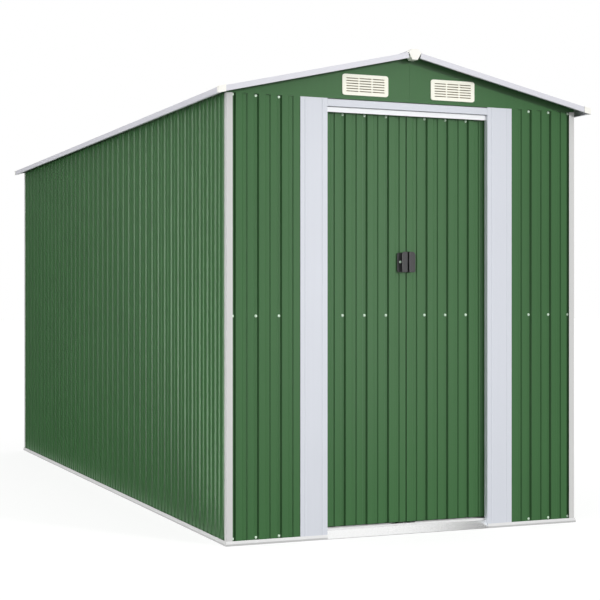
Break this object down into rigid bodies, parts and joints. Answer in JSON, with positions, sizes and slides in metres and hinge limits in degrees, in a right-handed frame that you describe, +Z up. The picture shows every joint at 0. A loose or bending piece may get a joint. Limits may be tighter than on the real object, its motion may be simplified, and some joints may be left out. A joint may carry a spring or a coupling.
{
  "type": "metal storage shed",
  "caption": "Long narrow garden shed of ribbed green sheet steel with pale posts and trim, a low gable roof and sliding double doors in the gable end.",
  "frame": {"origin": "on the ground under the middle of the shed", "axes": "+Z up, -Y out of the doorway, +X to the right of someone who faces the doors"},
  "size_m": [1.8946, 4.4166, 2.217],
  "materials": {
    "wall_green": "satin",
    "frame_white": "satin",
    "jamb_white": "satin",
    "zinc": "galvanised",
    "roof_trim": "satin",
    "cream_plastic": "matte",
    "dark_plastic": "matte"
  },
  "bodies": {
    "shed": {"back_base_rail": "frame_white", "back_gable_panels": "wall_green", "back_left_post": "frame_white", "back_right_post": "frame_white", "back_vents": "cream_plastic", "back_verge_trims": "roof_trim", "back_wall": "wall_green", "back_wall_rails": "zinc", "door_header": "jamb_white", "door_jamb_left": "jamb_white", "door_jamb_right": "jamb_white", "door_sill": "jamb_white", "door_track": "zinc", "front_base_rail": "frame_white", "front_gable_panels": "wall_green", "front_left_post": "frame_white", "front_right_post": "frame_white", "front_vents": "cream_plastic", "front_verge_trims": "roof_trim", "front_wall_left": "wall_green", "front_wall_rails": "zinc", "front_wall_right": "wall_green", "left_base_rail": "frame_white", "left_eave_trim": "roof_trim", "left_wall": "wall_green", "left_wall_rails": "zinc", "ridge_cap": "roof_trim", "ridge_end_caps": "cream_plastic", "right_base_rail": "frame_white", "right_eave_trim": "roof_trim", "right_wall": "wall_green", "right_wall_rails": "zinc", "roof_beams": "zinc", "roof_corner_caps": "cream_plastic", "roof_left": "wall_green", "roof_right": "wall_green"},
    "left_door": {"left_door_panel": "wall_green", "left_door_rails": "zinc", "left_door_runners": "dark_plastic", "left_door_handle": "dark_plastic"},
    "right_door": {"right_door_panel": "wall_green", "right_door_rails": "zinc", "right_door_runners": "dark_plastic", "right_door_handle": "dark_plastic"}
  },
  "joints": [
    {"name": "left_door_slide", "type": "slide", "parent": "shed", "child": "left_door", "axis": [-1, 0, 0], "range_m": [0, 0.355]},
    {"name": "right_door_slide", "type": "slide", "parent": "shed", "child": "right_door", "axis": [1, 0, 0], "range_m": [0, 0.355]}
  ]
}
